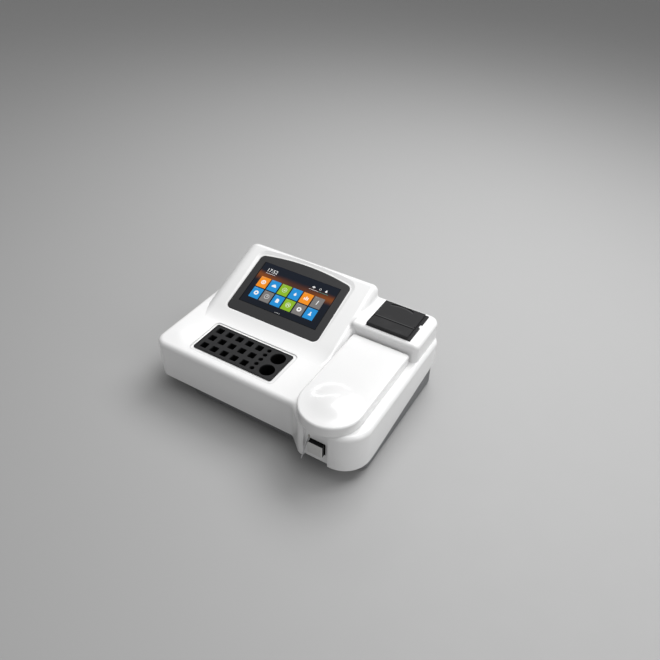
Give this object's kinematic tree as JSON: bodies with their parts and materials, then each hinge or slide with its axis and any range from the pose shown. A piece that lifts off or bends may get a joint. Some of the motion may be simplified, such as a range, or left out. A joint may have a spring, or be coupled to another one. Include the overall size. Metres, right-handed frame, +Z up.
{
  "type": "semi-automatic chemistry analyzer",
  "caption": "Bench analyzer with a sloped touch screen, heated sample wells, a lidded measuring compartment with pump and flow cell, a sipper probe and a built-in printer.",
  "frame": {"origin": "middle of the overall box, on the table plane", "axes": "+X to the right seen from the front, +Y to the rear, +Z up; the nose and the sample key face -Y"},
  "size_m": [0.399, 0.319, 0.1532],
  "materials": {
    "white_body": "smooth gloss",
    "dark_base": "fine texture",
    "foot_rubber": "matt",
    "charcoal_plastic": "fine texture",
    "black_rubber": "matt",
    "screen_glass": "polished",
    "display": "satin",
    "zinc_plate": "plated",
    "steel": "polished",
    "block_metal": "dark anodised",
    "heater_film": "matt",
    "tray_plastic": "satin",
    "pump_plastic": "satin",
    "roller_plastic": "smooth",
    "tubing": "satin",
    "cell_glass": "polished",
    "bare_aluminium": "machined",
    "circuit_board": "satin",
    "filter_glass": "polished",
    "lamp_glass": "polished",
    "key_grey": "smooth",
    "platen_rubber": "satin",
    "gear_plastic": "satin",
    "head_ceramic": "satin",
    "paper": "uncoated",
    "panel_paint": "fine texture"
  },
  "bodies": {
    "instrument": {"upper_shell": "white_body", "lower_base": "dark_base", "rubber_feet": "foot_rubber", "base_screws": "zinc_plate", "screen_bezel": "charcoal_plastic", "touch_glass": "screen_glass", "display_panel": "display", "display_bracket": "zinc_plate", "incubator_block": "block_metal", "block_rim": "black_rubber", "heater_pad": "heater_film", "lid_hinge_brackets": "zinc_plate", "lid_hinge_pin": "steel", "compartment_tray": "tray_plastic", "pump_housing": "pump_plastic", "pump_motor": "zinc_plate", "pump_tube": "tubing", "sipper_tube": "tubing", "flow_cell_holder": "bare_aluminium", "flow_cell": "cell_glass", "detector_board": "circuit_board", "lens_tube": "bare_aluminium", "optics_bracket": "zinc_plate", "filter_motor": "zinc_plate", "lamp_housing": "bare_aluminium", "halogen_lamp": "lamp_glass", "sipper_probe": "steel", "probe_ferrule": "charcoal_plastic", "key_guide": "charcoal_plastic", "key_switch": "charcoal_plastic", "printer_frame": "charcoal_plastic", "door_hinge_pin": "steel", "feed_motor": "zinc_plate", "print_head": "head_ceramic", "rear_panel": "panel_paint", "panel_screws": "zinc_plate", "power_inlet": "charcoal_plastic", "switch_body": "charcoal_plastic", "waste_fitting": "pump_plastic", "port_board": "circuit_board", "fan_frame": "charcoal_plastic", "power_supply": "zinc_plate", "main_board": "circuit_board"},
    "lid": {"compartment_lid": "white_body", "lid_liner": "tray_plastic"},
    "pump_rotor": {"pump_rotor": "roller_plastic"},
    "roller_1": {"pump_roller_1": "roller_plastic"},
    "roller_2": {"pump_roller_2": "roller_plastic"},
    "roller_3": {"pump_roller_3": "roller_plastic"},
    "filter_wheel": {"filter_wheel": "bare_aluminium", "optical_filters": "filter_glass"},
    "sample_key": {"sample_key": "charcoal_plastic", "key_cap": "key_grey"},
    "printer_door": {"printer_door": "charcoal_plastic"},
    "platen": {"platen_roller": "platen_rubber", "platen_shaft": "steel"},
    "feed_drive": {"drive_gear": "gear_plastic"},
    "paper_roll": {"paper_roll": "paper"},
    "fan_rotor": {"fan_rotor": "charcoal_plastic"},
    "switch_rocker": {"switch_rocker": "charcoal_plastic"}
  },
  "joints": [
    {"name": "lid_hinge", "type": "hinge", "parent": "instrument", "child": "lid", "pos_m": [0.1325, 0.047, 0.107], "axis": [-1, 0, 0], "range_deg": [0, 85]},
    {"name": "pump_spin", "type": "hinge", "parent": "instrument", "child": "pump_rotor", "pos_m": [0.1335, -0.069, 0.0682], "axis": [0, 0, 1], "continuous": true},
    {"name": "filter_wheel_spin", "type": "hinge", "parent": "instrument", "child": "filter_wheel", "pos_m": [0.1335, 0.0285, 0.056], "axis": [0, 1, 0], "continuous": true},
    {"name": "key_press", "type": "slide", "parent": "instrument", "child": "sample_key", "axis": [0, 1, 0], "range_m": [0, 0.0025], "stiffness_N_per_m": 300, "springref_m": -0.003},
    {"name": "printer_door_hinge", "type": "hinge", "parent": "instrument", "child": "printer_door", "pos_m": [0.1343, 0.0908, 0.1336], "axis": [1, 0, 0], "range_deg": [0, 95]},
    {"name": "platen_spin", "type": "hinge", "parent": "printer_door", "child": "platen", "pos_m": [0.1365, 0.1238, 0.127], "axis": [1, 0, 0], "continuous": true},
    {"name": "feed_spin", "type": "hinge", "parent": "instrument", "child": "feed_drive", "pos_m": [0.1667, 0.1238, 0.1165], "axis": [1, 0, 0], "continuous": true},
    {"name": "paper_roll_spin", "type": "hinge", "parent": "instrument", "child": "paper_roll", "pos_m": [0.1365, 0.1, 0.108], "axis": [1, 0, 0], "continuous": true},
    {"name": "fan_spin", "type": "hinge", "parent": "instrument", "child": "fan_rotor", "pos_m": [0.1365, 0.146, 0.082], "axis": [0, 1, 0], "continuous": true},
    {"name": "switch_rock", "type": "hinge", "parent": "instrument", "child": "switch_rocker", "pos_m": [-0.0395, 0.1435, 0.082], "axis": [1, 0, 0], "range_deg": [0, 20]},
    {"name": "roller_1_spin", "type": "hinge", "parent": "pump_rotor", "child": "roller_1", "pos_m": [0.1335, -0.0555, 0.0682], "axis": [0, 0, 1], "continuous": true},
    {"name": "roller_2_spin", "type": "hinge", "parent": "pump_rotor", "child": "roller_2", "pos_m": [0.12181, -0.07575, 0.0682], "axis": [0, 0, 1], "continuous": true},
    {"name": "roller_3_spin", "type": "hinge", "parent": "pump_rotor", "child": "roller_3", "pos_m": [0.14519, -0.07575, 0.0682], "axis": [0, 0, 1], "continuous": true}
  ],
  "couplings": [
    {"joint": "roller_1_spin", "follows": "pump_spin", "ratio": -4.2143},
    {"joint": "roller_2_spin", "follows": "pump_spin", "ratio": -4.2143},
    {"joint": "roller_3_spin", "follows": "pump_spin", "ratio": -4.2143},
    {"joint": "feed_spin", "follows": "platen_spin", "ratio": -0.75}
  ]
}
